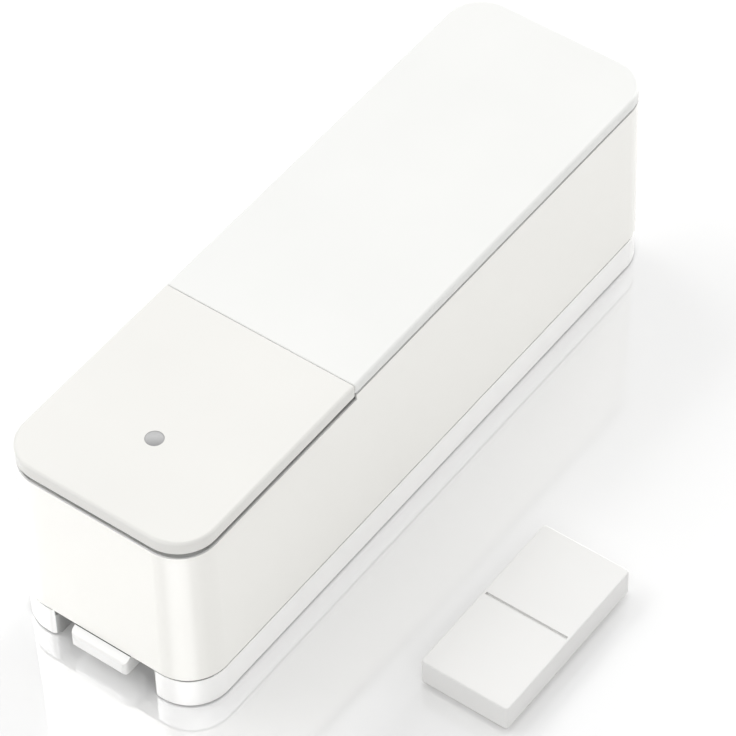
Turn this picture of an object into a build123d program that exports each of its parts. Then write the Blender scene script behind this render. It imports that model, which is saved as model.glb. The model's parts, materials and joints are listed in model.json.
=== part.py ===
from build123d import *
import os
from math import radians, tan

# Door contact sensor: a long sensor unit on its wall base, and the magnet unit that faces it.
# Millimetres, +Z up.  Origin: centre of the wall base's underside.
# X runs along the sensor (key end at -X), Y across it (magnet unit on the -Y side).

# ---------------------------------------------------------------- driving dimensions
L, W, R = 82.2, 24.3, 4.5            # outline of the top cover and key, corner radius
Z_TOP = 25.9                         # top surface
COVER_T, COVER_GAP = 1.2, 0.48       # cover edge thickness, shadow gap under it
KEY_T, KEY_GAP = 1.5, 0.85           # key edge thickness, working gap under it
KEY_TRAVEL = 0.5
TOP_FILLET = 0.36
SPLIT_X, SPLIT_GAP = -13.56, 0.06    # joint line between key and cover

SEAM_LO, SEAM_HI = 4.06, 4.38        # top of the base, bottom of the housing
FOOT = 0.30                          # the drafted housing is this much larger per side at its foot
DRAFT = 1.0                          # degrees
BASE_OFF = 0.27                      # the base's outline against the cover's, per side
WALL = 1.5
BASE_FLOOR, BASE_WALL = 1.6, 1.6
NOTCH_W, NOTCH_D, NOTCH_R = 12.7, 2.8, 0.8
FOOT_REBATE = 0.17                   # the base stands on a foot set back from its outline by this height

DECK_LO, DECK_HI = 22.2, 23.2        # housing's upper deck, under cover and key
RIM_W, RING_IN = 0.2, 1.45           # thin rim round the deck, and how far inside it the cover's skirt stands
MOAT_Z = 22.65                       # floor of the groove between rim and skirt

TAB_HALF, TAB_X0, TAB_X1 = 3.66, -42.33, -38.9
TAB_Z0, TAB_FRONT, TAB_Z1 = 1.85, 3.52, 4.1   # underside, top of the front face, top where it passes under the housing

LED_X = -30.8
GUIDE_R = 1.0
POST_X = -20.0

PCB_X0, PCB_X1, PCB_HALF, PCB_Z0, PCB_T = -38.2, -1.2, 9.8, 16.2, 1.0
PCB_TOP = PCB_Z0 + PCB_T
BOARD_SCREWS = [(-27.0, 7.3), (-27.0, -7.3), (-9.0, 7.8)]
STAKES = [(5.0, 9.35), (5.0, -9.35), (34.0, 9.35), (34.0, -9.35)]

CELL_R, CELL_LEN, CELL_X0, CELL_Z = 8.5, 34.5, 3.0, 13.45
SCREW_X, SCREW_HOLE_R = 22.0, 1.8    # wall screw holes in the base

MAG_X, MAG_Y = -13.15, -33.25        # magnet unit's centre
MAG_L, MAG_W, MAG_Z0, MAG_Z1 = 22.2, 10.8, 0.5, 3.77
GROOVE_W, GROOVE_D = 0.36, 0.35


# ---------------------------------------------------------------- helpers
def rrect(l, w, r, z, h, cx=0.0, cy=0.0, taper=0.0):
    """A rounded rectangle standing on height z, h tall."""
    return extrude(Plane((cx, cy, z)) * RectangleRounded(l, w, r), amount=h, taper=taper)


def box(x0, x1, y0, y1, z0, z1):
    return Pos((x0 + x1) / 2, (y0 + y1) / 2, (z0 + z1) / 2) * Box(x1 - x0, y1 - y0, z1 - z0)


def cyl(x, y, z0, z1, r):
    return Pos(x, y, (z0 + z1) / 2) * Cylinder(r, z1 - z0)


def cyl_x(x0, x1, y, z, r):
    return Pos((x0 + x1) / 2, y, z) * Rot(0, 90, 0) * Cylinder(r, x1 - x0)


def cone(x, y, z0, z1, r0, r1):
    return Pos(x, y, (z0 + z1) / 2) * Cone(r0, r1, z1 - z0)


def prism_y(pts, y0, y1):
    """A closed outline in X and Z, pulled along Y."""
    face = make_face(Polyline([(x, 0, z) for x, z in pts] + [(pts[0][0], 0, pts[0][1])]))
    solid = extrude(face, amount=y1 - y0, dir=(0, 1, 0))
    return Pos(0, y0, 0) * solid


def prism_z(pts, z0, z1):
    """A closed outline in X and Y, pulled along Z."""
    face = make_face(Polyline([(x, y, 0) for x, y in pts] + [(pts[0][0], pts[0][1], 0)]))
    return Pos(0, 0, z0) * extrude(face, amount=z1 - z0, dir=(0, 0, 1))


def grown(off, z, h, taper=0.0):
    """The sensor's outline, offset by off per side."""
    return rrect(L + 2 * off, W + 2 * off, R + off, z, h, taper=taper)


BIG = 200.0
nodes = {}

# ---------------------------------------------------------------- wall base
base = grown(BASE_OFF, FOOT_REBATE, SEAM_LO - FOOT_REBATE)
base = fillet(base.edges().filter_by_position(Axis.Z, SEAM_LO - 0.01, SEAM_LO + 0.01), 0.1)
base += grown(BASE_OFF - 0.7, 0, FOOT_REBATE + 0.3)
base -= grown(BASE_OFF - BASE_WALL, BASE_FLOOR, SEAM_LO)
base -= grown(BASE_OFF - 0.28, SEAM_LO - 0.9, 2) - grown(BASE_OFF - 1.1, 0, 10)
# notch in the -X end for the release tab, open from the wall side to the seam
notch_x1 = -L / 2 - BASE_OFF + NOTCH_D
base -= box(-BIG, notch_x1, -NOTCH_W / 2, NOTCH_W / 2, -1, SEAM_LO + 1)
for sy in (-1, 1):
    # rounded ends of the rim beside the notch
    x0, y0 = -L / 2 - BASE_OFF, sy * NOTCH_W / 2
    corner = box(x0 - 1, x0 + NOTCH_R, min(y0, y0 + sy * NOTCH_R), max(y0, y0 + sy * NOTCH_R), -1, SEAM_LO + 1)
    corner -= cyl(x0 + NOTCH_R, y0 + sy * NOTCH_R, -2, SEAM_LO + 2, NOTCH_R)
    base -= corner
# pocket for the adhesive tape
base -= rrect(34.4, 16.4, 2.2, -1, 1.6)
# countersunk wall screw holes
for sx in (-1, 1):
    base += cyl(sx * SCREW_X, 0, BASE_FLOOR, 2.2, 4.2)
    base -= cyl(sx * SCREW_X, 0, -1, 3, SCREW_HOLE_R)
    base -= cone(sx * SCREW_X, 0, 1.0, 2.21, SCREW_HOLE_R, 3.2)
# stiffening ribs on the floor
for y in (-6.6, 6.6):
    base += box(-27.0, 36.0, y - 0.5, y + 0.5, BASE_FLOOR - 0.2, 3.0)
for x in (-12.0, 12.0, 34.0):
    base += box(x - 0.5, x + 0.5, -6.6, 6.6, BASE_FLOOR - 0.2, 2.6)
# guides that centre the housing
for x in (-24.0, 0.0, 24.0):
    for sy in (-1, 1):
        a, b = sorted((sy * 9.5, sy * 10.72))
        base += box(x - 3.5, x + 3.5, a, b, BASE_FLOOR - 0.2, 6.4)
        g0, g1 = sorted((sy * 10.72, sy * 10.95))
        base += box(x - 3.5, x + 3.5, g0, g1, BASE_FLOOR - 0.2, 3.6)
# fixed hook at the +X end
base += prism_y([(37.9, 1.4), (39.1, 1.4), (39.1, 5.85), (39.62, 5.85), (39.62, 6.3), (38.9, 7.0), (37.9, 7.0)], -4.0, 4.0)
# channel for the latch slide, and the stop behind its spring
for sy in (-1, 1):
    a, b = sorted((sy * 3.15, sy * 4.4))
    base += box(-37.5, -32.2, a, b, BASE_FLOOR - 0.2, 3.55)
    a, b = sorted((sy * 2.62, sy * 4.4))
    base += box(-37.5, -32.2, a, b, 3.5, 4.0)
base += box(-28.9, -27.9, -3.2, 3.2, BASE_FLOOR - 0.2, 3.8)
nodes["base_plate"] = base

nodes["base_tape"] = rrect(34.0, 16.0, 2.0, 0, 0.6)

# ---------------------------------------------------------------- release latch
# finger tab: its top slopes down towards the finger, its lower edge is eased
tab = rrect(TAB_X1 - TAB_X0, 2 * TAB_HALF, 0.6, TAB_Z0, TAB_Z1 - TAB_Z0, cx=(TAB_X0 + TAB_X1) / 2)
tab &= prism_y([(TAB_X0 + 0.2, TAB_Z0), (TAB_X1, TAB_Z0), (TAB_X1, TAB_Z1), (TAB_X0 + 0.95, TAB_Z1), (TAB_X0 + 0.17, TAB_FRONT + 0.1),
                (TAB_X0, TAB_FRONT - 0.1), (TAB_X0, TAB_Z0 + 0.2)], -5, 5)
latch = tab + box(-39.6, -33.0, -3.0, 3.0, 1.75, 3.35)
latch += prism_y([(-39.0, 3.0), (-37.7, 3.0), (-37.7, 7.0), (-38.9, 7.0), (-39.62, 6.3), (-39.62, 5.85), (-39.0, 5.85)], -2.5, 2.5)
latch += prism_y([(-37.8, 3.3), (-36.0, 3.3), (-37.8, 5.6)], -0.5, 0.5)
nodes["release_latch"] = latch

# serpentine leaf spring between the latch slide and its stop
t = 0.3
pts_c = [(-32.98, -1.9), (-32.98, 1.9), (-31.9, 1.9), (-31.9, -1.9), (-30.85, -1.9), (-30.85, 1.9), (-29.95, 1.9), (-29.95, -1.9), (-29.08, -1.9), (-29.08, 1.9)]
spring = None
for (xa, ya), (xb, yb) in zip(pts_c[:-1], pts_c[1:]):
    seg = box(min(xa, xb), max(xa, xb) + (t if xa == xb else t), min(ya, yb), max(ya, yb) + t, 1.9, 3.2)
    spring = seg if spring is None else spring + seg
spring = Pos(-0.0, -0.15, 0) * spring
spring &= box(-32.98, -28.92, -4, 4, 1, 4)
nodes["latch_spring"] = spring

# ---------------------------------------------------------------- housing
RIM_TOP = Z_TOP - COVER_T - COVER_GAP
h = RIM_TOP - SEAM_HI
housing = grown(FOOT, SEAM_HI, h, taper=DRAFT)
housing -= grown(FOOT - WALL, SEAM_HI - 0.001, DECK_LO - SEAM_HI + 0.001, taper=DRAFT)
top_off = FOOT - h * tan(radians(DRAFT))         # outline of the rim at its top
housing -= grown(top_off - RIM_W, DECK_HI, 5)
housing -= grown(top_off - RIM_W, MOAT_Z, 5) - grown(top_off - RING_IN + 0.02, 0, 60)
# the rim is lower under the key
housing -= box(-BIG, SPLIT_X + 0.3, -BIG, BIG, Z_TOP - KEY_T - KEY_GAP, 40)
# holes in the deck: key post, light guide, key legs, cover pegs
housing -= cyl(POST_X, 0, 20, 24, 2.1)
housing -= cyl(LED_X, 0, 20, 24, 2.2)
KEY_LEGS = [(-37.2, 5.0), (-37.2, -5.0), (-16.2, 7.0), (-16.2, -7.0)]
for x, y in KEY_LEGS:
    sx = -1 if x < -30 else 1
    x0, x1 = sorted((x - sx * 0.7, x + sx * 1.3))
    housing -= box(x0, x1, y - 1.7, y + 1.7, 20, 24)
PEGS = [(x, y) for x in (-8.0, 13.0, 34.0) for y in (-7.5, 7.5)]
for x, y in PEGS:
    housing -= cyl(x, y, DECK_LO - 1, DECK_HI + 1, 1.05)
# bosses for the board screws
for x, y in BOARD_SCREWS:
    housing += cyl(x, y, PCB_TOP, DECK_LO + 0.2, 2.1)
    housing -= cyl(x, y, PCB_TOP - 1, 22.0, 1.05)
# stakes that hold the battery carrier
for x, y in STAKES:
    housing += cyl(x, y, DECK_LO - 3.0, DECK_LO + 0.2, 0.7)
# catches at both ends, over which the latch and the fixed hook reach
housing += box(-40.2, -39.2, -3.3, 3.3, 4.75, 5.7)
housing += box(39.2, 40.2, -4.4, 4.4, 4.75, 5.7)
nodes["housing"] = housing

# ---------------------------------------------------------------- long top cover
cover = grown(0, Z_TOP - COVER_T, COVER_T)
cover = fillet(cover.edges().filter_by_position(Axis.Z, Z_TOP - 0.01, Z_TOP + 0.01), TOP_FILLET)
cover &= box(SPLIT_X + SPLIT_GAP / 2, BIG, -BIG, BIG, 0, 40)
ring = grown(top_off - RING_IN, DECK_HI, Z_TOP - COVER_T - DECK_HI + 0.1)
ring -= grown(top_off - RING_IN - 1.0, DECK_HI - 1, 4)
ring = (ring & box(SPLIT_X + 1.2, BIG, -BIG, BIG, 0, 40))
cover += ring
cover += box(SPLIT_X + 1.2, SPLIT_X + 2.2, -9.4, 9.4, DECK_HI, Z_TOP - COVER_T + 0.1)
for x in (0.0, 20.0):
    cover += box(x - 0.5, x + 0.5, -9.4, 9.4, DECK_HI + 0.2, Z_TOP - COVER_T + 0.1)
for x, y in PEGS:
    cover += cyl(x, y, DECK_LO + 0.05, Z_TOP - COVER_T + 0.1, 1.0)
e = [e for e in cover.edges() if abs(e.center().X - (SPLIT_X + SPLIT_GAP / 2)) < 1e-3 and abs(e.center().Z - Z_TOP) < 1e-3 and e.length > 20]
cover = fillet(e, 0.15)
nodes["top_cover"] = cover

# ---------------------------------------------------------------- press key
key = grown(0, Z_TOP - KEY_T, KEY_T)
key = fillet(key.edges().filter_by_position(Axis.Z, Z_TOP - 0.01, Z_TOP + 0.01), TOP_FILLET)
key &= box(-BIG, SPLIT_X - SPLIT_GAP / 2, -BIG, BIG, 0, 40)
kz = Z_TOP - KEY_T
ring = grown(top_off - RING_IN, DECK_HI + KEY_TRAVEL + 0.1, kz - DECK_HI - KEY_TRAVEL)
ring -= grown(top_off - RING_IN - 0.9, 20, 6)
ring = (ring & box(-BIG, SPLIT_X - 1.2, -BIG, BIG, 0, 40))
key += ring
key += box(SPLIT_X - 2.1, SPLIT_X - 1.2, -9.3, 9.3, DECK_HI + KEY_TRAVEL + 0.1, kz + 0.1)
for y in (-4.5, 4.5):
    key += box(-38.0, SPLIT_X - 1.5, y - 0.4, y + 0.4, DECK_HI + KEY_TRAVEL + 0.1, kz + 0.1)
PLUNGER_TOP = PCB_TOP + 3.5 + 1.0
key += cyl(POST_X, 0, PLUNGER_TOP + 0.02, kz + 0.1, 1.5)
for x, y in KEY_LEGS:
    sx = -1 if x < -30 else 1
    x0, x1 = sorted((x - sx * 0.5, x + sx * 0.5))
    key += box(x0, x1, y - 1.4, y + 1.4, DECK_LO - 1.0, kz + 0.1)
    a = x + sx * 0.5
    key += prism_y([(a, DECK_LO - 0.9), (a, DECK_LO - 0.04), (a + sx * 0.45, DECK_LO - 0.04)], y - 1.4, y + 1.4)
key -= cyl(LED_X, 0, kz - 2, Z_TOP + 1, GUIDE_R + 0.02)
key -= cyl(LED_X, 0, kz - 2, kz, 1.9)
e = [e for e in key.edges() if abs(e.center().X - (SPLIT_X - SPLIT_GAP / 2)) < 1e-3 and abs(e.center().Z - Z_TOP) < 1e-3 and e.length > 20]
key = fillet(e, 0.15)
nodes["press_key"] = key

# clear rod from the status lamp to the top of the key
guide = cyl(LED_X, 0, PCB_TOP + 0.6 + KEY_TRAVEL + 0.2, Z_TOP - 0.03, GUIDE_R)
guide += cyl(LED_X, 0, kz - 0.8, kz, 1.8)
nodes["light_guide"] = guide

# ---------------------------------------------------------------- circuit board and what is on it
board = rrect(PCB_X1 - PCB_X0, 2 * PCB_HALF, 2.2, PCB_Z0, PCB_T, cx=(PCB_X0 + PCB_X1) / 2)
for x, y in BOARD_SCREWS:
    board -= cyl(x, y, PCB_Z0 - 1, PCB_TOP + 1, 1.15)
nodes["circuit_board"] = board

screws = []
for x, y in BOARD_SCREWS:
    s = cyl(x, y, PCB_Z0 - 1.2, PCB_Z0, 1.8)
    s = fillet(s.edges().filter_by_position(Axis.Z, PCB_Z0 - 1.21, PCB_Z0 - 1.19), 0.4)
    s += cyl(x, y, PCB_Z0 - 0.1, 21.5, 1.0)
    s -= box(x - 0.9, x + 0.9, y - 0.18, y + 0.18, PCB_Z0 - 1.3, PCB_Z0 - 0.7)
    s -= box(x - 0.18, x + 0.18, y - 0.9, y + 0.9, PCB_Z0 - 1.3, PCB_Z0 - 0.7)
    screws.append(s)
nodes["board_screws"] = screws

led = box(LED_X - 0.9, LED_X + 0.9, -0.6, 0.6, PCB_TOP, PCB_TOP + 0.35)
led += cyl(LED_X, 0, PCB_TOP + 0.3, PCB_TOP + 0.6, 0.5)
nodes["status_led"] = led

sw = rrect(6.2, 6.2, 0.5, PCB_TOP, 3.5, cx=POST_X)
sw -= cyl(POST_X, 0, PCB_TOP + 1.2, PCB_TOP + 4, 1.8)
nodes["switch_body"] = sw
nodes["switch_plunger"] = cyl(POST_X, 0, PCB_TOP + 1.9, PLUNGER_TOP, 1.75)

frame_ = rrect(11.0, 9.6, 0.4, PCB_TOP, 0.8, cx=-8.6, cy=0.4)
nodes["radio_board"] = frame_
can = rrect(10.2, 8.8, 0.5, PCB_TOP + 0.8, 1.8, cx=-8.6, cy=0.4)
can -= rrect(9.8, 8.4, 0.3, PCB_TOP + 0.7, 1.7, cx=-8.6, cy=0.4)
nodes["radio_shield"] = can
nodes["radio_chip"] = rrect(5.0, 5.0, 0.2, PCB_TOP + 0.8, 0.9, cx=-8.6, cy=0.4)
nodes["logic_chip"] = box(-34.0, -29.2, -2.4, 2.4, PCB_Z0 - 1.0, PCB_Z0)

ant = box(-37.3, -35.9, -7.2, 7.2, 19.4, 19.7)
ant += box(-37.3, -35.9, -7.2, -6.9, PCB_TOP, 19.7)
ant += box(-37.3, -36.9, -4.0, -3.7, PCB_TOP, 19.7)
ant += box(-37.3, -36.7, 6.9, 7.2, PCB_TOP, 19.7)
nodes["antenna"] = ant

# reed switch: sealed glass tube with two leads whose blades overlap inside it
RX, RY, RZ = -13.3, -8.0, PCB_TOP + 1.55
glass = cyl_x(RX - 6.6, RX + 6.6, RY, RZ, 1.1) + Pos(RX - 6.6, RY, RZ) * Sphere(1.1) + Pos(RX + 6.6, RY, RZ) * Sphere(1.1)
glass -= cyl_x(RX - 5.8, RX + 5.8, RY, RZ, 0.8)
glass -= cyl_x(RX - 9, RX + 9, RY, RZ, 0.26)
nodes["reed_glass"] = glass
leads = []
for sx in (-1, 1):
    a, b = sorted((RX + sx * 5.6, RX + sx * 9.6))
    ld = cyl_x(a, b, RY, RZ, 0.25)
    a, b = sorted((RX + sx * 9.2, RX + sx * 9.6))
    ld += box(a, b, RY - 0.2, RY + 0.2, PCB_TOP, RZ)
    a, b = sorted((RX - sx * 0.6, RX + sx * 5.7))
    zc = RZ + sx * 0.13
    ld += box(a, b, RY - 0.45, RY + 0.45, zc - 0.09, zc + 0.09)
    leads.append(ld)
nodes["reed_leads"] = leads

caps = []
for x, y, d in ((-22.5, 6.0, 1.0), (-20.0, 6.8, 1.0), (-33.6, -3.4, 0.8), (-28.6, 3.4, 0.8), (-33.0, 3.6, 0.8), (-15.4, 4.4, 0.7)):
    caps.append(box(x - d, x + d, y - d * 0.6, y + d * 0.6, PCB_TOP, PCB_TOP + d))
nodes["board_parts"] = caps

# ---------------------------------------------------------------- battery carrier, contacts and cell
car = box(0.2, 39.3, -10.2, 10.2, 7.4, 22.1)
car -= cyl_x(1.5, 37.95, 0, CELL_Z, CELL_R + 0.22)
car -= box(1.5, 37.95, -(CELL_R + 0.22), CELL_R + 0.22, 0, CELL_Z)
car = car & rrect(80, 20.4, 2.6, 0, 30, cx=-0.7)
for x, y in STAKES:
    car -= cyl(x, y, 18.9, 23, 0.75)
# window in the end wall for the negative contact's tail, and lightening of the top corners
car -= box(0, 2, -2.0, 2.0, 15.0, 18.2)
for x in (12.0, 20.0, 28.0):
    for sy in (-1, 1):
        a, b = sorted((sy * 8.6, sy * 11))
        car -= box(x - 2.5, x + 2.5, a, b, 18.5, 23)
nodes["battery_carrier"] = car

cell = cyl_x(CELL_X0, CELL_X0 + CELL_LEN - 1.2, 0, CELL_Z, CELL_R)
cell = fillet(cell.edges().filter_by(GeomType.CIRCLE), 0.6)
nodes["battery_cell"] = cell
term = cyl_x(CELL_X0 + CELL_LEN - 1.2, CELL_X0 + CELL_LEN, 0, CELL_Z, 3.2)
term = fillet(term.edges().filter_by(GeomType.CIRCLE).sort_by(Axis.X)[-1], 0.3)
nodes["battery_terminal"] = term

s = 0.3
neg = prism_y([(1.52, 7.6), (1.52 + s, 7.6), (1.52 + s, 9.2), (CELL_X0 - 0.02, 12.9), (CELL_X0 - 0.02, 14.0), (1.52 + s, 16.4), (1.52 + s, 17.5),
               (1.52, 17.5), (1.52, 16.2), (CELL_X0 - 0.02 - s, 13.85), (CELL_X0 - 0.02 - s, 13.05), (1.52, 9.35)], -3.0, 3.0)
neg += box(-2.8, 1.6, -0.9, 0.9, PCB_TOP, PCB_TOP + s)
nodes["contact_negative"] = neg
pos = box(37.6, 37.9, -3.5, 3.5, 10.0, 17.4)
pos += box(37.6, 37.9, 3.4, 7.4, 14.6, 17.4)
nodes["contact_positive"] = pos
bus = box(-3.2, 30.0, 10.26, 10.52, 14.8, 17.5)
bus += box(-3.2, -1.6, 9.0, 10.52, PCB_TOP, PCB_TOP + s)
nodes["contact_bus"] = bus

# ---------------------------------------------------------------- magnet unit
mc = rrect(MAG_L, MAG_W, 0.35, MAG_Z0, MAG_Z1 - MAG_Z0, cx=MAG_X, cy=MAG_Y)
mc = fillet(mc.edges().filter_by_position(Axis.Z, MAG_Z1 - 0.01, MAG_Z1 + 0.01), 0.16)
mc -= rrect(MAG_L - 1.8, MAG_W - 1.8, 0.5, MAG_Z0 - 1, MAG_Z1 - 0.85 - MAG_Z0 + 1, cx=MAG_X, cy=MAG_Y)
mc -= box(MAG_X - GROOVE_W / 2, MAG_X + GROOVE_W / 2, MAG_Y - MAG_W / 2 + 0.3, MAG_Y + MAG_W / 2 - 0.3, MAG_Z1 - GROOVE_D, MAG_Z1 + 1)
nodes["magnet_case"] = mc
nodes["magnet_base"] = rrect(MAG_L - 1.9, MAG_W - 1.9, 0.45, MAG_Z0, 0.6, cx=MAG_X, cy=MAG_Y)
nodes["bar_magnet"] = rrect(18.0, 7.6, 0.3, MAG_Z0 + 0.6, 1.7, cx=MAG_X, cy=MAG_Y)
nodes["magnet_tape"] = rrect(MAG_L - 0.9, MAG_W - 0.9, 0.5, 0, MAG_Z0, cx=MAG_X, cy=MAG_Y)

# ---------------------------------------------------------------- write
os.makedirs("parts", exist_ok=True)
for name, shape in nodes.items():
    if isinstance(shape, list):
        shape = Compound(children=[p.solid() if hasattr(p, "solid") else p for p in shape])
    export_step(shape, f"parts/{name}.step")
    print(name, round(shape.volume, 2), len(shape.solids()))
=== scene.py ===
import bpy, bmesh, math, json
from mathutils import Vector, Matrix


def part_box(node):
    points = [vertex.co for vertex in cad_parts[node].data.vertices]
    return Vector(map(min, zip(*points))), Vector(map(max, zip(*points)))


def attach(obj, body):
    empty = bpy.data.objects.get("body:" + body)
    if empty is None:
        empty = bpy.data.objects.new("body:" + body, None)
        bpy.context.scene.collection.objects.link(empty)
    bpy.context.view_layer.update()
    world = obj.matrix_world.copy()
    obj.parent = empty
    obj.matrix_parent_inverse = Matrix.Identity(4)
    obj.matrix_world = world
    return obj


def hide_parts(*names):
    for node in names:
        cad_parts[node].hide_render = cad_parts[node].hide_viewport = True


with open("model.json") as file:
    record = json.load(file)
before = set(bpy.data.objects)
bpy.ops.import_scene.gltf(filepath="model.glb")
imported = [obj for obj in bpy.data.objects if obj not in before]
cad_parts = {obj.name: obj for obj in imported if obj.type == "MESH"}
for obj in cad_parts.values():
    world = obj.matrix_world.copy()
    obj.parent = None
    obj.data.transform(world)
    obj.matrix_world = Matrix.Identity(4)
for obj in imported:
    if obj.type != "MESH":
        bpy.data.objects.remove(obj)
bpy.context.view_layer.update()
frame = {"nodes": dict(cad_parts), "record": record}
nodes = frame["nodes"]
MM = 0.001
LED_X = -0.0308


# ------------------------------------------------------------------ camera
def make_camera():
    az, el, roll = math.radians(-52.49), math.radians(48.28), math.radians(-1.478)
    fwd = Vector((-math.sin(az) * math.cos(el), math.cos(az) * math.cos(el), -math.sin(el)))
    right = fwd.cross(Vector((0, 0, 1))).normalized()
    up = right.cross(fwd)
    r2 = right * math.cos(roll) + up * math.sin(roll)
    u2 = -right * math.sin(roll) + up * math.cos(roll)
    cam = bpy.data.objects.new("camera", bpy.data.cameras.new("camera"))
    bpy.context.scene.collection.objects.link(cam)
    m = Matrix((r2, u2, -fwd)).transposed().to_4x4()
    m.translation = Vector((-0.22217, -0.17398, 0.32470))
    cam.matrix_world = m
    cam.data.sensor_width = 36.0
    cam.data.lens = 3953.2 / 736 * 36.0
    cam.data.clip_start, cam.data.clip_end = 0.01, 10
    bpy.context.scene.camera = cam


make_camera()


# ------------------------------------------------------------------ shader helpers
def new_mat(name):
    m = bpy.data.materials.new(name)
    m.use_nodes = True
    nt = m.node_tree
    for n in list(nt.nodes):
        nt.nodes.remove(n)
    out = nt.nodes.new("ShaderNodeOutputMaterial")
    b = nt.nodes.new("ShaderNodeBsdfPrincipled")
    nt.links.new(b.outputs[0], out.inputs[0])
    return m, nt, b


def noise(nt, scale, detail=2.0, rough=0.5, vec=None):
    n = nt.nodes.new("ShaderNodeTexNoise")
    n.inputs["Scale"].default_value = scale
    n.inputs["Detail"].default_value = detail
    n.inputs["Roughness"].default_value = rough
    if vec is None:
        t = nt.nodes.new("ShaderNodeTexCoord")
        vec = t.outputs["Object"]
    nt.links.new(vec, n.inputs["Vector"])
    return n.outputs["Fac"]


def ramp(nt, fac, stops):
    r = nt.nodes.new("ShaderNodeValToRGB")
    els = r.color_ramp.elements
    while len(els) < len(stops):
        els.new(0.5)
    for e, (p, c) in zip(els, stops):
        e.position = p
        e.color = (*c, 1) if len(c) == 3 else c
    nt.links.new(fac, r.inputs[0])
    return r.outputs[0]


def remap(nt, fac, a, b, lo, hi):
    r = nt.nodes.new("ShaderNodeMapRange")
    r.inputs["From Min"].default_value, r.inputs["From Max"].default_value = a, b
    r.inputs["To Min"].default_value, r.inputs["To Max"].default_value = lo, hi
    nt.links.new(fac, r.inputs["Value"])
    return r.outputs[0]


def bump(nt, height, strength, dist, normal=None):
    b = nt.nodes.new("ShaderNodeBump")
    b.inputs["Strength"].default_value = strength
    b.inputs["Distance"].default_value = dist
    nt.links.new(height, b.inputs["Height"])
    if normal is not None:
        nt.links.new(normal, b.inputs["Normal"])
    return b.outputs[0]


def obj_xyz(nt):
    t = nt.nodes.new("ShaderNodeTexCoord")
    s = nt.nodes.new("ShaderNodeSeparateXYZ")
    nt.links.new(t.outputs["Object"], s.inputs[0])
    return s.outputs, t.outputs["Object"]


def normal_xyz(nt):
    g = nt.nodes.new("ShaderNodeNewGeometry")
    s = nt.nodes.new("ShaderNodeSeparateXYZ")
    nt.links.new(g.outputs["True Normal"], s.inputs[0])
    return s.outputs


def math_(nt, op, a, b=None, clamp=False):
    m = nt.nodes.new("ShaderNodeMath")
    m.operation = op
    m.use_clamp = clamp
    for i, v in enumerate((a, b)):
        if v is None:
            continue
        if isinstance(v, (int, float)):
            m.inputs[i].default_value = v
        else:
            nt.links.new(v, m.inputs[i])
    return m.outputs[0]


def mixc(nt, fac, c1, c2):
    m = nt.nodes.new("ShaderNodeMix")
    m.data_type = "RGBA"
    nt.links.new(fac, m.inputs[0]) if not isinstance(fac, (int, float)) else setattr(m.inputs[0], "default_value", fac)
    for sock, c in ((m.inputs[6], c1), (m.inputs[7], c2)):
        if isinstance(c, tuple):
            sock.default_value = (*c, 1)
        else:
            nt.links.new(c, sock)
    return m.outputs[2]


def dist2(nt, x, y, cx, cy):
    dx = math_(nt, "SUBTRACT", x, cx)
    dy = math_(nt, "SUBTRACT", y, cy)
    return math_(nt, "SQRT", math_(nt, "ADD", math_(nt, "MULTIPLY", dx, dx), math_(nt, "MULTIPLY", dy, dy)))


def plastic(name, color, rough, grain=0.00002, grain_scale=9000.0, ior=1.49, sss=0.0, var=0.012, painted_shade=None, painted_shade_color=(0.1, 0.1, 0.1)):
    """Injection-moulded plastic: fine spark-eroded grain, slow flow variation in tone and gloss.
    An optional mask function gives 0..1 over the faces inside a joint; these get painted shade, a darker colour that
    stands in for the shadow in the gap."""
    m, nt, b = new_mat(name)
    flow = noise(nt, 55.0, 3.0, 0.5)
    fine = noise(nt, grain_scale, 2.0, 0.6)
    c0 = tuple(max(0.0, x * (1 - var)) for x in color)
    c1 = tuple(min(1.0, x * (1 + var)) for x in color)
    col = ramp(nt, flow, [(0.3, c0), (0.7, c1)])
    # painted shade: inside the joint mask the colour is mixed toward a darker shade colour
    if painted_shade:
        col = mixc(nt, painted_shade(nt), col, painted_shade_color)
    nt.links.new(col, b.inputs["Base Color"])
    nt.links.new(remap(nt, flow, 0.3, 0.7, rough * 0.92, rough * 1.08), b.inputs["Roughness"])
    nt.links.new(bump(nt, fine, 0.35, grain), b.inputs["Normal"])
    b.inputs["IOR"].default_value = ior
    if sss:
        b.inputs["Subsurface Weight"].default_value = sss
        b.inputs["Subsurface Radius"].default_value = (1.0, 0.95, 0.9)
        b.inputs["Subsurface Scale"].default_value = 0.0008
    return m


def metal(name, color, rough, scale=(2500.0, 120.0, 2500.0), strength=0.2):
    """Rolled or plated metal: a fine stretched grain in tone, gloss and height."""
    m, nt, b = new_mat(name)
    t = nt.nodes.new("ShaderNodeTexCoord")
    mp = nt.nodes.new("ShaderNodeMapping")
    mp.inputs["Scale"].default_value = scale
    nt.links.new(t.outputs["Object"], mp.inputs["Vector"])
    g = noise(nt, 1.0, 4.0, 0.6, vec=mp.outputs[0])
    blot = noise(nt, 400.0, 3.0, 0.5)
    nt.links.new(ramp(nt, g, [(0.25, tuple(x * 0.86 for x in color)), (0.75, color)]), b.inputs["Base Color"])
    nt.links.new(remap(nt, blot, 0.3, 0.7, rough * 0.75, rough * 1.3), b.inputs["Roughness"])
    nt.links.new(bump(nt, g, strength, 0.00001), b.inputs["Normal"])
    b.inputs["Metallic"].default_value = 1.0
    return m


def step(nt, v, lo, hi):
    """1 where v lies above hi, 0 below lo."""
    return remap(nt, v, lo, hi, 0.0, 1.0)


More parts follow.
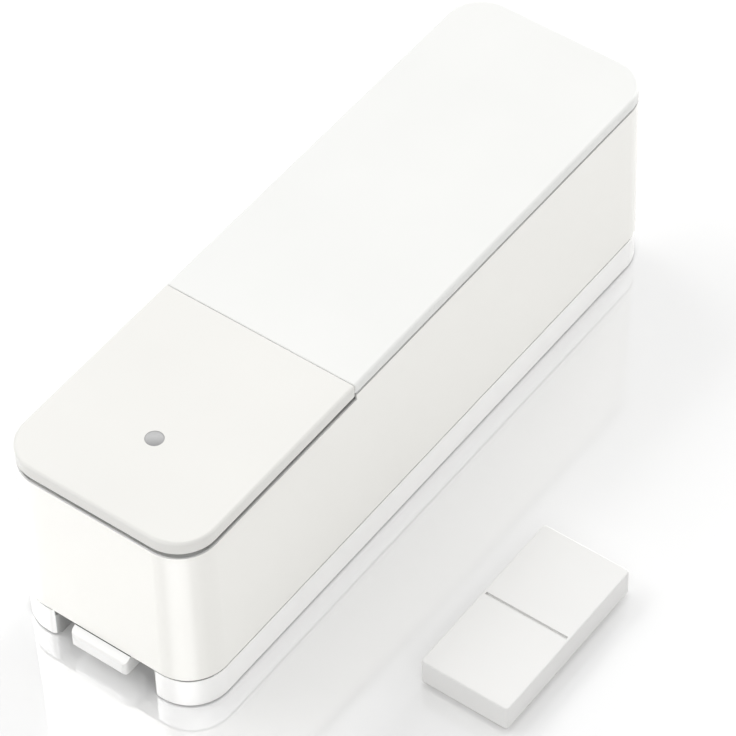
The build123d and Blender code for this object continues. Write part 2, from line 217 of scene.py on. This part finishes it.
def inset(nt, x, y, hx, hy, r):
    """Distance inside a rounded rectangle of half sizes hx and hy and corner radius r (negative outside)."""
    qx = math_(nt, "SUBTRACT", math_(nt, "ABSOLUTE", x), hx - r)
    qy = math_(nt, "SUBTRACT", math_(nt, "ABSOLUTE", y), hy - r)
    px, py = math_(nt, "MAXIMUM", qx, 0.0), math_(nt, "MAXIMUM", qy, 0.0)
    out = math_(nt, "SQRT", math_(nt, "ADD", math_(nt, "MULTIPLY", px, px), math_(nt, "MULTIPLY", py, py)))
    inn = math_(nt, "MINIMUM", math_(nt, "MAXIMUM", qx, qy), 0.0)
    return math_(nt, "SUBTRACT", r, math_(nt, "ADD", out, inn))


def rim_shade_mask(nt):
    """Painted shade on the housing: faces that look up inside the joint under key and cover, where shadow falls."""
    (x, y, z), v = obj_xyz(nt)
    nx, ny, nz = normal_xyz(nt)
    up = math_(nt, "MULTIPLY", step(nt, nz, 0.6, 0.7), step(nt, z, 0.0222, 0.0223))
    inside = step(nt, inset(nt, x, y, 0.0411, 0.01215, 0.0045), 0.00017, 0.00021)
    deep = math_(nt, "MULTIPLY", inside, step(nt, z, 0.02245, 0.02255))
    return math_(nt, "MAXIMUM", up, deep, clamp=True)


def under_shade_mask(nt):
    """Painted shade on cover and key: faces that look down, and the skirts inside them, where shadow falls."""
    (x, y, z), v = obj_xyz(nt)
    nx, ny, nz = normal_xyz(nt)
    down = step(nt, math_(nt, "MULTIPLY", nz, -1.0), 0.6, 0.7)
    low = remap(nt, z, 0.02433, 0.02437, 1.0, 0.0)
    return math_(nt, "MAXIMUM", down, low, clamp=True)


def seam_shade_mask(nt):
    """Painted shade on the wall base: the groove in the top of its rim, the foot's set-back underside, and the end of
    its floor inside the notch, where shadow falls.
    """
    (x, y, z), v = obj_xyz(nt)
    nx, ny, nz = normal_xyz(nt)
    top = math_(nt, "MULTIPLY", step(nt, nz, 0.9, 0.95), step(nt, z, 0.0040, 0.00402))
    edge = inset(nt, x, y, 0.04137, 0.01242, 0.00477)
    groove = math_(nt, "MULTIPLY", math_(nt, "MULTIPLY", step(nt, edge, 0.0002, 0.00024), remap(nt, edge, 0.0010, 0.0011, 1.0, 0.0)), step(nt, z, 0.0031, 0.00315))
    foot = math_(nt, "MULTIPLY", remap(nt, z, 0.00018, 0.0002, 1.0, 0.0), remap(nt, edge, 0.0008, 0.0009, 1.0, 0.0))
    notch = math_(nt, "MULTIPLY", math_(nt, "MULTIPLY", step(nt, x, -0.0412, -0.0411), remap(nt, x, -0.0365, -0.0364, 1.0, 0.0)), remap(nt, math_(nt, "ABSOLUTE", y), 0.00655, 0.0066, 1.0, 0.0))
    out = math_(nt, "MAXIMUM", math_(nt, "MAXIMUM", top, groove), math_(nt, "MAXIMUM", foot, notch))
    return math_(nt, "MULTIPLY", out, 1.0, clamp=True)


def latch_shade_mask(nt):
    """Painted shade on the latch: everything behind the finger tab, and the strip of the tab's top under the housing
    edge.
    """
    (x, y, z), v = obj_xyz(nt)
    nx, ny, nz = normal_xyz(nt)
    top = math_(nt, "MULTIPLY", step(nt, nz, 0.95, 0.97), step(nt, x, -0.04138, -0.04135))
    return math_(nt, "MAXIMUM", step(nt, x, -0.0391, -0.0390), top, clamp=True)


# Painted shade: these darker colours stand in for the shadow in seams, gaps and the notch.
SEAM_SHADE = (0.42, 0.42, 0.415)
GAP_SHADE = (0.66, 0.66, 0.65)
S = 1.14
def tone(r, g, b):
    return (r / S, g / S, b / S)


mats = {}
# Cover, key, housing, base and latch get painted shade in their joints, seams and notch through their masks.
mats["cover_white"] = plastic("cover_white", tone(0.831, 0.833, 0.815), 0.40, grain=0.000012, grain_scale=7000, painted_shade=under_shade_mask, painted_shade_color=GAP_SHADE)
mats["key_white"] = plastic("key_white", tone(0.808, 0.801, 0.771), 0.40, grain=0.000012, grain_scale=7000, painted_shade=under_shade_mask, painted_shade_color=GAP_SHADE)
mats["housing_white"] = plastic("housing_white", tone(0.965, 0.955, 0.915), 0.16, grain=0.000003, grain_scale=5000, var=0.006, painted_shade=rim_shade_mask, painted_shade_color=GAP_SHADE)
mats["base_white"] = plastic("base_white", tone(1.03, 1.025, 1.01), 0.18, grain=0.000003, grain_scale=5000, var=0.006, painted_shade=seam_shade_mask, painted_shade_color=SEAM_SHADE)
mats["latch_white"] = plastic("latch_white", tone(0.96, 0.957, 0.943), 0.22, grain=0.000003, grain_scale=5000, var=0.006, painted_shade=latch_shade_mask, painted_shade_color=(0.12, 0.12, 0.12))
mats["magnet_white"] = plastic("magnet_white", tone(0.835, 0.831, 0.818), 0.5, grain=0.000014, grain_scale=7000)
mats["magnet_base_white"] = plastic("magnet_base_white", tone(0.79, 0.785, 0.77), 0.5, grain=0.000014)
mats["carrier_plastic"] = plastic("carrier_plastic", (0.045, 0.046, 0.05), 0.45, grain=0.00002, grain_scale=6000, var=0.12)
mats["black_plastic"] = plastic("black_plastic", (0.018, 0.018, 0.019), 0.38, grain=0.00002, grain_scale=9000, var=0.2)
mats["switch_plunger"] = plastic("switch_plunger", (0.028, 0.028, 0.03), 0.3, grain=0.00001, grain_scale=9000, var=0.2)
mats["spring_steel"] = metal("spring_steel", (0.56, 0.56, 0.57), 0.28, scale=(120.0, 120.0, 4000.0))
mats["screw_steel"] = metal("screw_steel", (0.66, 0.67, 0.69), 0.26, scale=(3000.0, 3000.0, 600.0))
mats["tinned_shield"] = metal("tinned_shield", (0.72, 0.73, 0.74), 0.30, scale=(200.0, 3500.0, 3500.0), strength=0.3)
mats["reed_metal"] = metal("reed_metal", (0.70, 0.66, 0.58), 0.30, scale=(150.0, 4000.0, 4000.0))
mats["battery_metal"] = metal("battery_metal", (0.76, 0.76, 0.76), 0.22, scale=(3000.0, 500.0, 500.0))
mats["contact_metal"] = metal("contact_metal", (0.78, 0.72, 0.56), 0.24, scale=(2600.0, 2600.0, 160.0), strength=0.25)
mats["magnet_metal"] = metal("magnet_metal", (0.58, 0.58, 0.59), 0.34, scale=(900.0, 900.0, 900.0), strength=0.4)


def guide_mat():
    """Frosted clear rod: mid grey, darker on the side away from the room's light."""
    m, nt, b = new_mat("light_guide")
    (x, y, z), v = obj_xyz(nt)
    r = dist2(nt, x, y, LED_X, 0.0)
    fine = noise(nt, 3500.0, 3.0, 0.6)
    side = math_(nt, "ADD", math_(nt, "MULTIPLY", math_(nt, "SUBTRACT", x, LED_X), -0.79), math_(nt, "MULTIPLY", y, -0.61))
    side = math_(nt, "ADD", side, math_(nt, "MULTIPLY", math_(nt, "SUBTRACT", fine, 0.5), 0.0003))
    tone_ = ramp(nt, remap(nt, side, -0.001, 0.001, 0.0, 1.0), [(0.0, (0.42, 0.42, 0.42)), (0.35, (0.445, 0.445, 0.445)), (0.55, (0.395, 0.395, 0.395)), (0.8, (0.31, 0.31, 0.31)), (1.0, (0.24, 0.24, 0.24))])
    # painted shade: a darker ring round the rod's edge, where it meets its recess
    rim = step(nt, r, 0.00086, 0.00099)
    nt.links.new(mixc(nt, math_(nt, "MULTIPLY", rim, 0.35), tone_, (0.25, 0.25, 0.25)), b.inputs["Base Color"])
    nt.links.new(remap(nt, fine, 0.3, 0.7, 0.26, 0.38), b.inputs["Roughness"])
    nt.links.new(bump(nt, fine, 0.3, 0.00001), b.inputs["Normal"])
    b.inputs["IOR"].default_value = 1.5
    return m


def board_mat(name, mask, trace, half_t_z):
    """Printed circuit board: solder mask over copper runs, plated pads, bare glass-fibre edge."""
    m, nt, b = new_mat(name)
    (x, y, z), v = obj_xyz(nt)
    nx, ny, nz = normal_xyz(nt)
    mp = nt.nodes.new("ShaderNodeMapping")
    mp.inputs["Scale"].default_value = (1.0, 1.0, 0.0)
    nt.links.new(v, mp.inputs["Vector"])
    br = nt.nodes.new("ShaderNodeTexBrick")
    br.offset, br.squash = 0.37, 1.0
    br.inputs["Scale"].default_value = 1.0
    br.inputs["Mortar Size"].default_value = 0.00013
    br.inputs["Mortar Smooth"].default_value = 0.1
    br.inputs["Brick Width"].default_value = 0.0052
    br.inputs["Row Height"].default_value = 0.00078
    nt.links.new(mp.outputs[0], br.inputs["Vector"])
    vo = nt.nodes.new("ShaderNodeTexVoronoi")
    vo.inputs["Scale"].default_value = 300.0
    nt.links.new(mp.outputs[0], vo.inputs["Vector"])
    zone = remap(nt, noise(nt, 140.0, 1.0, 0.4, vec=mp.outputs[0]), 0.50, 0.515, 0.0, 1.0)
    run = math_(nt, "MULTIPLY", br.outputs["Fac"], zone, clamp=True)
    c = mixc(nt, run, mask, trace)
    pad = remap(nt, vo.outputs["Distance"], 0.115, 0.135, 1.0, 0.0)
    # painted shade: the dark dot at each pad's centre stands in for the shadow inside its drilled hole
    hole = remap(nt, vo.outputs["Distance"], 0.05, 0.065, 1.0, 0.0)
    c = mixc(nt, math_(nt, "MULTIPLY", pad, 0.85), c, (0.62, 0.60, 0.52))
    c = mixc(nt, hole, c, (0.03, 0.03, 0.025))
    face = remap(nt, math_(nt, "ABSOLUTE", nz), 0.6, 0.9, 0.0, 1.0)
    weave = noise(nt, 2600.0, 3.0, 0.7)
    edge = ramp(nt, weave, [(0.3, (0.42, 0.38, 0.24)), (0.7, (0.56, 0.52, 0.36))])
    nt.links.new(mixc(nt, face, edge, c), b.inputs["Base Color"])
    nt.links.new(math_(nt, "MULTIPLY", pad, face), b.inputs["Metallic"])
    nt.links.new(mixf(nt, face, 0.7, 0.26), b.inputs["Roughness"])
    h = math_(nt, "ADD", math_(nt, "MULTIPLY", run, 0.6), math_(nt, "MULTIPLY", pad, 0.4))
    nt.links.new(bump(nt, h, 0.5, 0.00003), b.inputs["Normal"])
    return m


def mixf(nt, fac, a, b_):
    r = nt.nodes.new("ShaderNodeMapRange")
    r.inputs["To Min"].default_value, r.inputs["To Max"].default_value = a, b_
    nt.links.new(fac, r.inputs["Value"])
    return r.outputs[0]


def chip_mat():
    """Moulded epoxy: fine speckle, and a polished pin-one dimple in each package's corner."""
    m, nt, b = new_mat("chip_black")
    (x, y, z), v = obj_xyz(nt)
    sp = noise(nt, 9000.0, 2.0, 0.7)
    d1 = dist2(nt, x, y, -0.0333, -0.0017)
    d2 = dist2(nt, x, y, -0.0104, 0.0022)
    d = math_(nt, "MINIMUM", d1, d2)
    dot = remap(nt, d, 0.00030, 0.00034, 1.0, 0.0)
    nt.links.new(mixc(nt, dot, ramp(nt, sp, [(0.3, (0.012, 0.012, 0.013)), (0.7, (0.034, 0.034, 0.036))]), (0.06, 0.06, 0.062)), b.inputs["Base Color"])
    nt.links.new(mixf(nt, dot, 0.5, 0.2), b.inputs["Roughness"])
    nt.links.new(bump(nt, math_(nt, "SUBTRACT", sp, math_(nt, "MULTIPLY", dot, 3.0)), 0.4, 0.00001), b.inputs["Normal"])
    return m


def cell_mat():
    """Shrink sleeve round the can, with bare nickel showing at both ends and a plain band near the positive end."""
    m, nt, b = new_mat("battery_sleeve")
    (x, y, z), v = obj_xyz(nt)
    nx, ny, nz = normal_xyz(nt)
    r = dist2(nt, y, z, 0.0, 0.01345)
    end = math_(nt, "MULTIPLY", remap(nt, math_(nt, "ABSOLUTE", nx), 0.7, 0.75, 0.0, 1.0), remap(nt, r, 0.0071, 0.0072, 1.0, 0.0))
    crease = noise(nt, 700.0, 4.0, 0.6)
    band = math_(nt, "MULTIPLY", remap(nt, x, 0.0292, 0.0293, 0.0, 1.0), remap(nt, x, 0.0342, 0.0343, 1.0, 0.0))
    col = mixc(nt, band, ramp(nt, crease, [(0.3, (0.018, 0.075, 0.19)), (0.7, (0.024, 0.092, 0.225))]), (0.70, 0.70, 0.71))
    nt.links.new(mixc(nt, end, col, (0.74, 0.74, 0.73)), b.inputs["Base Color"])
    nt.links.new(end, b.inputs["Metallic"])
    nt.links.new(remap(nt, crease, 0.3, 0.7, 0.20, 0.30), b.inputs["Roughness"])
    nt.links.new(bump(nt, crease, 0.25, 0.00004), b.inputs["Normal"])
    return m


def caps_mat():
    """Ceramic capacitors: tan body between tinned end caps."""
    m, nt, b = new_mat("ceramic_parts")
    (x, y, z), v = obj_xyz(nt)
    g = noise(nt, 6000.0, 2.0, 0.6)
    ends = None
    for cx, cy, d in ((-22.5, 6.0, 1.0), (-20.0, 6.8, 1.0), (-33.6, -3.4, 0.8), (-28.6, 3.4, 0.8), (-33.0, 3.6, 0.8), (-15.4, 4.4, 0.7)):
        near = remap(nt, dist2(nt, x, y, cx * MM, cy * MM), d * 1.25 * MM, d * 1.26 * MM, 1.0, 0.0)
        e = remap(nt, math_(nt, "ABSOLUTE", math_(nt, "SUBTRACT", x, cx * MM)), d * 0.60 * MM, d * 0.63 * MM, 0.0, 1.0)
        e = math_(nt, "MULTIPLY", e, near)
        ends = e if ends is None else math_(nt, "MAXIMUM", ends, e)
    body = ramp(nt, g, [(0.3, (0.30, 0.20, 0.115)), (0.7, (0.38, 0.27, 0.16))])
    nt.links.new(mixc(nt, ends, body, (0.70, 0.70, 0.69)), b.inputs["Base Color"])
    nt.links.new(ends, b.inputs["Metallic"])
    nt.links.new(remap(nt, g, 0.3, 0.7, 0.28, 0.4), b.inputs["Roughness"])
    return m


def led_mat():
    m, nt, b = new_mat("led_lens")
    (x, y, z), v = obj_xyz(nt)
    r = dist2(nt, x, y, -0.0308, 0.0)
    g = noise(nt, 5000.0, 2.0, 0.5)
    nt.links.new(ramp(nt, remap(nt, r, 0.0, 0.0009, 0.0, 1.0), [(0.0, (0.85, 0.80, 0.35)), (0.5, (0.86, 0.85, 0.72)), (1.0, (0.80, 0.81, 0.78))]), b.inputs["Base Color"])
    nt.links.new(remap(nt, g, 0.3, 0.7, 0.10, 0.18), b.inputs["Roughness"])
    b.inputs["IOR"].default_value = 1.53
    return m


def glass_mat():
    m, nt, b = new_mat("reed_glass")
    g = noise(nt, 500.0, 3.0, 0.5)
    nt.links.new(ramp(nt, g, [(0.3, (0.86, 0.93, 0.90)), (0.7, (0.93, 0.97, 0.95))]), b.inputs["Base Color"])
    nt.links.new(remap(nt, g, 0.3, 0.7, 0.01, 0.04), b.inputs["Roughness"])
    b.inputs["Transmission Weight"].default_value = 0.92
    b.inputs["IOR"].default_value = 1.47
    return m


def foam_mat():
    """Closed-cell foam tape: open-cut cells at the sides, a smoother skin above and below."""
    m, nt, b = new_mat("foam")
    (x, y, z), v = obj_xyz(nt)
    nx, ny, nz = normal_xyz(nt)
    vo = nt.nodes.new("ShaderNodeTexVoronoi")
    vo.inputs["Scale"].default_value = 5200.0
    nt.links.new(v, vo.inputs["Vector"])
    g = noise(nt, 900.0, 3.0, 0.6)
    side = remap(nt, math_(nt, "ABSOLUTE", nz), 0.6, 0.9, 1.0, 0.25)
    cell = math_(nt, "MULTIPLY", vo.outputs["Distance"], side)
    nt.links.new(ramp(nt, math_(nt, "ADD", math_(nt, "MULTIPLY", g, 0.6), math_(nt, "MULTIPLY", cell, 0.4)), [(0.2, (0.66, 0.655, 0.63)), (0.7, (0.80, 0.795, 0.77))]), b.inputs["Base Color"])
    b.inputs["Roughness"].default_value = 0.85
    nt.links.new(bump(nt, cell, 0.6, 0.00006), b.inputs["Normal"])
    return m


mats["light_guide"] = guide_mat()
mats["circuit_board"] = board_mat("circuit_board", (0.012, 0.105, 0.045), (0.03, 0.20, 0.085), 0)
mats["module_board"] = board_mat("module_board", (0.008, 0.035, 0.115), (0.02, 0.075, 0.21), 0)
mats["chip_black"] = chip_mat()
mats["battery_sleeve"] = cell_mat()
mats["ceramic_parts"] = caps_mat()
mats["led_lens"] = led_mat()
mats["reed_glass"] = glass_mat()
mats["foam"] = foam_mat()

for n, s in [(x["node"], x["material_slot"]) for x in frame["record"]["subparts"]]:
    o = nodes[n]
    o.data.materials.clear()
    o.data.materials.append(mats[s])


# ------------------------------------------------------------------ made pieces
def link(name, bm, mat, body, smooth=True):
    me = bpy.data.meshes.new(name)
    bmesh.ops.recalc_face_normals(bm, faces=bm.faces)
    bm.to_mesh(me)
    bm.free()
    for p in me.polygons:
        p.use_smooth = smooth
    o = bpy.data.objects.new(name, me)
    bpy.context.scene.collection.objects.link(o)
    me.materials.append(mats[mat])
    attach(o, body)
    return o


def tape(name, node, radius, body):
    """Foam tape: a die-cut strip whose sides bulge slightly where it is pressed, with softened edges."""
    (x0, y0, z0), (x1, y1, z1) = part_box(node)
    t = z1 - z0
    bulge = min(0.00012, t * 0.25)
    prof = [(0.10, 0.0), (0.02, 0.10), (0.0, 0.5), (0.02, 0.90), (0.10, 1.0)]     # (inset, height), as a share
    bm = bmesh.new()
    rings = []
    for inset, hh in prof:
        ins = inset * t * 1.2
        ring = []
        for cx, cy, a0 in ((x1 - radius, y1 - radius, 0), (x0 + radius, y1 - radius, 90), (x0 + radius, y0 + radius, 180), (x1 - radius, y0 + radius, 270)):
            for k in range(9):
                a = math.radians(a0 + k * 11.25)
                r = radius - ins
                ring.append((cx + r * math.cos(a), cy + r * math.sin(a)))
        # divide the straight runs, and let the cut edge wander by a few hundredths of a millimetre
        pts = []
        for i, p in enumerate(ring):
            q = ring[(i + 1) % len(ring)]
            d = math.hypot(q[0] - p[0], q[1] - p[1])
            m = max(1, int(d / 0.0012))
            for j in range(m):
                f = j / m
                pts.append((p[0] + (q[0] - p[0]) * f, p[1] + (q[1] - p[1]) * f))
        vs = []
        mx, my = (x0 + x1) / 2, (y0 + y1) / 2
        for i, (px, py) in enumerate(pts):
            w = 1.0 - 0.0009 * (1 + math.sin(px * 3100.0 + hh) * math.cos(py * 2700.0))
            vs.append(bm.verts.new((mx + (px - mx) * w, my + (py - my) * w, z0 + t * hh)))
        rings.append(vs)
    for a, b in zip(rings[:-1], rings[1:]):
        n = len(a)
        for i in range(n):
            bm.faces.new((a[i], a[(i + 1) % n], b[(i + 1) % n], b[i]))
    bm.faces.new(list(reversed(rings[0])))
    bm.faces.new(rings[-1])
    o = link(name, bm, "foam", body, smooth=False)
    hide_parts(node)
    return o


tape("wall_tape", "base_tape", 0.0020, "base")
tape("door_tape", "magnet_tape", 0.0005, "magnet_unit")


def strip(bm, path, w, t, across):
    """A flat metal lead: a path of points with a rectangular section of width w (along across) and thickness t."""
    across = Vector(across).normalized()
    prev = None
    P = [Vector(p) for p in path]
    for i, p in enumerate(P):
        d = (P[min(i + 1, len(P) - 1)] - P[max(i - 1, 0)]).normalized()
        n = d.cross(across).normalized()
        q = [bm.verts.new(p + across * (sx * w / 2) + n * (sn * t / 2)) for sx, sn in ((-1, -1), (1, -1), (1, 1), (-1, 1))]
        if prev:
            for k in range(4):
                bm.faces.new((prev[k], prev[(k + 1) % 4], q[(k + 1) % 4], q[k]))
        else:
            bm.faces.new(q[::-1])
        prev = q
    bm.faces.new(prev)


def chip_leads():
    """Gull-wing leads down both long sides of the logic chip, on the board's wiring side."""
    (x0, y0, z0), (x1, y1, z1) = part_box("logic_chip")
    zb = z1
    zm = (z0 + z1) / 2
    bm = bmesh.new()
    for sy, ye in ((-1, y0), (1, y1)):
        for k in range(7):
            x = x0 + (x1 - x0) * (k + 0.5) / 7
            path = [(x, ye - sy * 0.0001, zm), (x, ye + sy * 0.00022, zm), (x, ye + sy * 0.00034, zm + 0.00008), (x, ye + sy * 0.00042, zb - 0.00018), (x, ye + sy * 0.00052, zb - 0.00009), (x, ye + sy * 0.00095, zb - 0.00009)]
            strip(bm, path, 0.0003, 0.00013, (1, 0, 0))
    return link("chip_leads", bm, "tinned_shield", "housing", smooth=False)


chip_leads()


def solder_joints():
    """Solder cones on the wiring side, where the switch, the reed switch, the antenna and the battery contacts come through."""
    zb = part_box("circuit_board")[0][2]
    pts = [(-20 + sx * 3.25, sy * 2.25) for sx in (-1, 1) for sy in (-1, 1)]
    pts += [(-22.7, -8.0), (-3.9, -8.0), (-36.6, -7.0), (-37.0, -3.85), (-37.0, 7.0), (-2.2, 0.5), (-2.2, -0.5), (-2.4, 9.1)]
    bm = bmesh.new()
    for x, y in pts:
        prev = None
        for r, h in ((0.00078, 0.0), (0.00060, 0.00016), (0.00040, 0.00034), (0.00030, 0.00060), (0.00022, 0.00070)):
            ring = [bm.verts.new((x * MM + r * math.cos(k * math.pi / 10), y * MM + r * math.sin(k * math.pi / 10), zb - h)) for k in range(20)]
            if prev:
                for k in range(20):
                    bm.faces.new((prev[k], prev[(k + 1) % 20], ring[(k + 1) % 20], ring[k]))
            else:
                bm.faces.new(ring)
            prev = ring
        bm.faces.new(prev[::-1])
    return link("solder_joints", bm, "tinned_shield", "housing")


solder_joints()


def switch_legs():
    """Four bent legs of the tactile switch, on the parts side."""
    (x0, y0, z0), (x1, y1, z1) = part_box("switch_body")
    bm = bmesh.new()
    cx = (x0 + x1) / 2
    for sx, xe in ((-1, x0), (1, x1)):
        for sy in (-1, 1):
            y = sy * 0.00225
            strip(bm, [(xe - sx * 0.0001, y, z0 + 0.0011), (xe + sx * 0.0002, y, z0 + 0.0011), (xe + sx * 0.00032, y, z0 + 0.0009), (xe + sx * 0.00036, y, z0 + 0.0002), (xe + sx * 0.00036, y, z0 - 0.0002)], 0.0006, 0.0002, (0, 1, 0))
    return link("switch_legs", bm, "tinned_shield", "housing", smooth=False)


switch_legs()


# ------------------------------------------------------------------ floor, light, colour
def make_floor():
    me = bpy.data.meshes.new("floor")
    s = 3.0
    me.from_pydata([(-s, -s, 0), (s, -s, 0), (s, s, 0), (-s, s, 0)], [], [(0, 1, 2, 3)])
    o = bpy.data.objects.new("floor", me)
    o.location = (0, 0, -0.00002)
    bpy.context.scene.collection.objects.link(o)
    m = bpy.data.materials.new("floor")
    m.use_nodes = True
    nt = m.node_tree
    for n in list(nt.nodes):
        nt.nodes.remove(n)
    out = nt.nodes.new("ShaderNodeOutputMaterial")
    mix = nt.nodes.new("ShaderNodeMixShader")
    dif = nt.nodes.new("ShaderNodeBsdfDiffuse")
    glo = nt.nodes.new("ShaderNodeBsdfGlossy")
    dif.inputs[0].default_value = (0.83, 0.83, 0.83, 1)
    glo.inputs[0].default_value = (1, 1, 1, 1)
    (x, y, z), v = obj_xyz(nt)
    near = inset(nt, x, y, 0.04137, 0.01242, 0.00477)
    nt.links.new(remap(nt, near, -0.013, -0.0055, 0.125, 0.025), glo.inputs["Roughness"])
    mix.inputs[0].default_value = 0.24
    nt.links.new(dif.outputs[0], mix.inputs[1])
    nt.links.new(glo.outputs[0], mix.inputs[2])
    nt.links.new(mix.outputs[0], out.inputs[0])
    me.materials.append(m)


make_floor()


def area(name, loc, target, size, power, size_y=None, color=(1, 1, 1)):
    d = bpy.data.lights.new(name, "AREA")
    d.shape = "RECTANGLE"
    d.size, d.size_y = size, size_y or size
    d.energy = power
    d.color = color
    o = bpy.data.objects.new(name, d)
    bpy.context.scene.collection.objects.link(o)
    o.location = loc
    o.rotation_mode = "QUATERNION"
    o.rotation_quaternion = (Vector(target) - Vector(loc)).to_track_quat("-Z", "Y")
    return o


WORLD = 0.45
PANELS = [("side_low", 0, 14, 0.80, 0.75, 0.4), ("left_back", 90, 45, 0.29, 0.7, 0.5), ("front_left", 225, 45, 0.20, 0.7, 0.5), ("left_front", 180, 45, 0.088, 0.7, 0.5),
          ("key_a", 128, 50, 0.07, 0.25), ("key_b", 115, 28, 0.03, 0.25), ("key_c", 141, 50, 0.04, 0.25), ("right_back", 45, 45, 0.04, 0.7, 0.5), ("right_front", 300, 40, 0.07, 0.7, 0.5)]

world = bpy.data.worlds.new("world")
bpy.context.scene.world = world
world.use_nodes = True
bg = world.node_tree.nodes["Background"]
bg.inputs[0].default_value = (1, 1, 1, 1)
bg.inputs[1].default_value = WORLD * S


def panel(name, az, el, share, size, size_y=None, dist=1.0):
    a, e = math.radians(az), math.radians(el)
    loc = (dist * math.cos(a) * math.cos(e), dist * math.sin(a) * math.cos(e), dist * math.sin(e))
    area(name, loc, (0, -0.01, 0.01), size, S * share * math.pi ** 2 * dist * dist, size_y)


for p in PANELS:
    panel(*p)


def strip_light(name, az, el, radiance, width, height, receivers, dist=0.6):
    """A soft strip that only the named parts receive, so that their gloss shows it as a band of light."""
    a, e = math.radians(az), math.radians(el)
    loc = (-0.037 + dist * math.cos(a) * math.cos(e), -0.008 + dist * math.sin(a) * math.cos(e), 0.014 + dist * math.sin(e))
    o = area(name, loc, (-0.037, -0.008, 0.014), width, radiance * math.pi * width * height, height)
    o.visible_camera = False
    o.visible_diffuse = False
    col = bpy.data.collections.new(name)
    for r in receivers:
        col.objects.link(nodes[r])
    o.light_linking.receiver_collection = col
    o.light_linking.blocker_collection = col
    return o


strip_light("corner_strip", 205, -48, 6.8, 0.40, 0.26, ["housing", "base_plate"])

sc = bpy.context.scene
sc.view_settings.view_transform = "Standard"
sc.view_settings.look = "None"
sc.view_settings.exposure = 0.0
